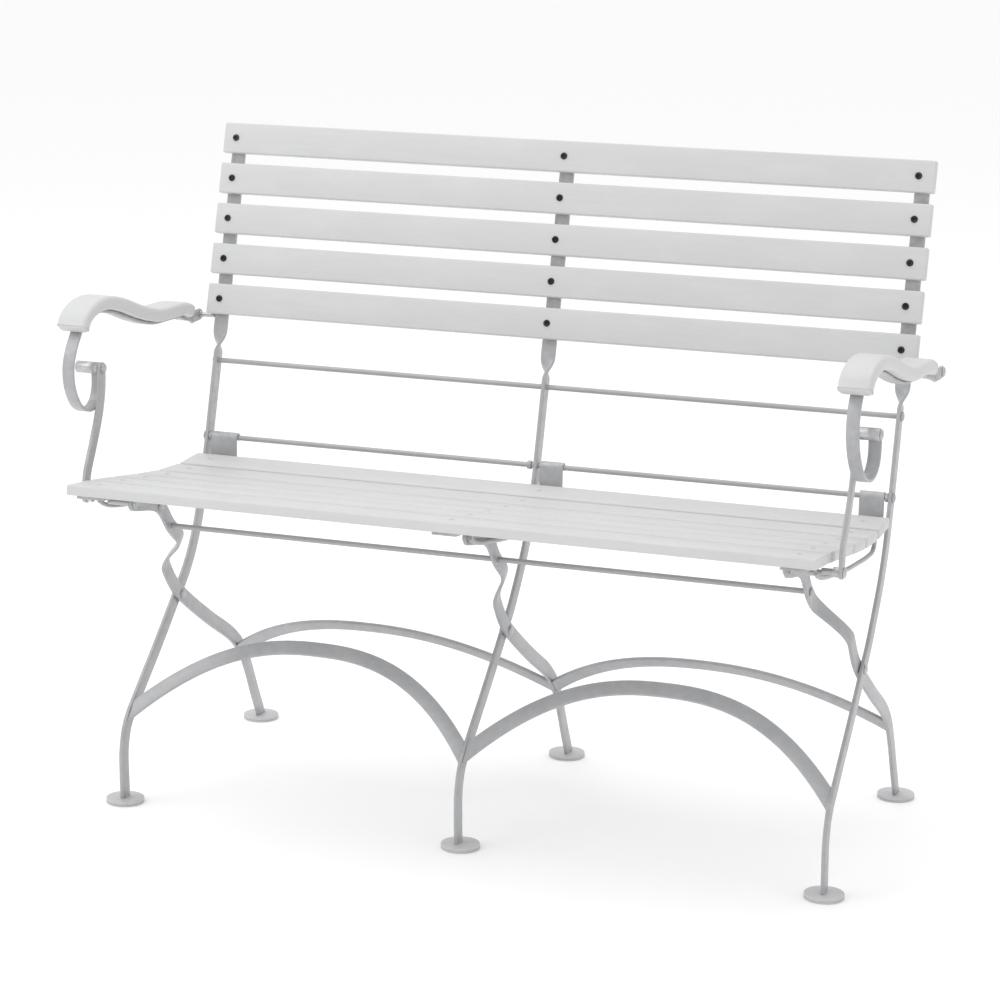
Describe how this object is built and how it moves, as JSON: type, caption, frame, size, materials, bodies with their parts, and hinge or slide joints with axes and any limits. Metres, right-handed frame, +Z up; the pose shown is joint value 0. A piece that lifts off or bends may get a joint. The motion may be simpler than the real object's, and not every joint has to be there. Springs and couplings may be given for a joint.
{
  "type": "garden bench",
  "caption": "Folding garden bench with curved flat-bar steel legs, painted wooden seat and back slats, wavy arm boards and scrolled arm supports.",
  "frame": {"origin": "floor level, in the middle of the bench's width and depth", "axes": "+X to the right as seen from the front, +Y towards the back, +Z up"},
  "size_m": [1.0844, 0.5951, 0.8822],
  "materials": {
    "lacquered_wood": "satin grey paint over open grain",
    "painted_steel": "satin grey paint"
  },
  "bodies": {
    "back_frame": {"arm_pivot_pin_left": "painted_steel", "arm_pivot_pin_right": "painted_steel", "back_slat_1": "lacquered_wood", "back_slat_2": "lacquered_wood", "back_slat_3": "lacquered_wood", "back_slat_4": "lacquered_wood", "back_slat_5": "lacquered_wood", "front_arch_left": "painted_steel", "front_arch_right": "painted_steel", "front_foot_left": "painted_steel", "front_foot_middle": "painted_steel", "front_foot_right": "painted_steel", "hinge_rod": "painted_steel", "scissor_pin_left": "painted_steel", "scissor_pin_middle": "painted_steel", "scissor_pin_right": "painted_steel", "tie_rod": "painted_steel", "upright_left": "painted_steel", "upright_middle": "painted_steel", "upright_right": "painted_steel"},
    "rear_frame": {"front_pin_left": "painted_steel", "front_pin_middle": "painted_steel", "front_pin_right": "painted_steel", "rear_arch_left": "painted_steel", "rear_arch_right": "painted_steel", "rear_foot_left": "painted_steel", "rear_foot_middle": "painted_steel", "rear_foot_right": "painted_steel", "rear_leg_left": "painted_steel", "rear_leg_middle": "painted_steel", "rear_leg_right": "painted_steel", "slide_pin_left": "painted_steel", "slide_pin_middle": "painted_steel", "slide_pin_right": "painted_steel", "stretcher_rod": "painted_steel"},
    "seat": {"guide_rod_left": "painted_steel", "guide_rod_middle": "painted_steel", "guide_rod_right": "painted_steel", "seat_slat_1": "lacquered_wood", "seat_slat_2": "lacquered_wood", "seat_slat_3": "lacquered_wood", "seat_slat_4": "lacquered_wood", "seat_slat_5": "lacquered_wood", "seat_slat_6": "lacquered_wood", "seat_strip_left": "painted_steel", "seat_strip_middle": "painted_steel", "seat_strip_right": "painted_steel", "strut_bolt_left": "painted_steel", "strut_bolt_right": "painted_steel"},
    "arm_left": {"arm_barrel_left": "painted_steel", "arm_board_left": "lacquered_wood", "arm_bolt_left": "painted_steel", "arm_strip_left": "painted_steel"},
    "arm_right": {"arm_barrel_right": "painted_steel", "arm_board_right": "lacquered_wood", "arm_bolt_right": "painted_steel", "arm_strip_right": "painted_steel"},
    "strut_left": {"arm_strut_left": "painted_steel"},
    "strut_right": {"arm_strut_right": "painted_steel"}
  },
  "joints": [
    {"name": "seat_fold", "type": "hinge", "parent": "back_frame", "child": "seat", "pos_m": [0, 0.113, 0.455], "axis": [-1, 0, 0], "range_deg": [0, 68]},
    {"name": "rear_frame_fold", "type": "hinge", "parent": "back_frame", "child": "rear_frame", "pos_m": [0, 0.0065, 0.2525], "axis": [-1, 0, 0], "range_deg": [0, 54]},
    {"name": "arm_left_fold", "type": "hinge", "parent": "back_frame", "child": "arm_left", "pos_m": [0, 0.159, 0.617], "axis": [-1, 0, 0], "range_deg": [0, 68]},
    {"name": "arm_right_fold", "type": "hinge", "parent": "back_frame", "child": "arm_right", "pos_m": [0, 0.159, 0.617], "axis": [-1, 0, 0], "range_deg": [0, 68]},
    {"name": "strut_left_turn", "type": "hinge", "parent": "seat", "child": "strut_left", "pos_m": [0, -0.219, 0.433], "axis": [-1, 0, 0], "range_deg": [-68, 0]},
    {"name": "strut_right_turn", "type": "hinge", "parent": "seat", "child": "strut_right", "pos_m": [0, -0.219, 0.433], "axis": [-1, 0, 0], "range_deg": [-68, 0]}
  ],
  "couplings": [
    {"joint": "rear_frame_fold", "follows": "seat_fold", "ratio": 0.78},
    {"joint": "arm_left_fold", "follows": "seat_fold", "ratio": 1},
    {"joint": "arm_right_fold", "follows": "seat_fold", "ratio": 1},
    {"joint": "strut_left_turn", "follows": "seat_fold", "ratio": -1},
    {"joint": "strut_right_turn", "follows": "seat_fold", "ratio": -1}
  ]
}
